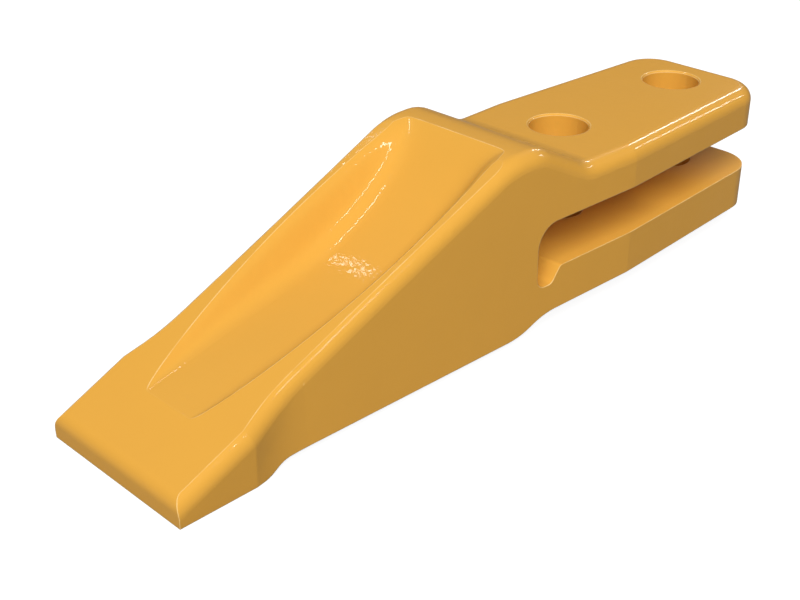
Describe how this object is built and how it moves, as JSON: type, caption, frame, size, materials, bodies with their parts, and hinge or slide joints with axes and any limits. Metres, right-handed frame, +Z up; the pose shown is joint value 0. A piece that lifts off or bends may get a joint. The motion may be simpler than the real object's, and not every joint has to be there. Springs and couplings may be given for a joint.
{
  "type": "bucket tooth tip",
  "caption": "One-piece cast bolt-on bucket tooth: flat spade blade, channelled wedge rising to a crest, and a slotted two-strap shank with bolt holes that straddles the bucket lip.",
  "frame": {"origin": "centre of the bolted seat: midway between the two bolt holes, on the upper face of the lower strap", "axes": "+X from the cutting edge to the rear of the straps, +Y across the tooth, +Z up along the bolt holes, square to the seat"},
  "size_m": [0.2785, 0.0642, 0.0658],
  "materials": {
    "yellow_paint": "gloss yellow-orange paint over cast steel"
  },
  "bodies": {
    "root": {"tooth_tip": "yellow_paint"}
  },
  "joints": []
}
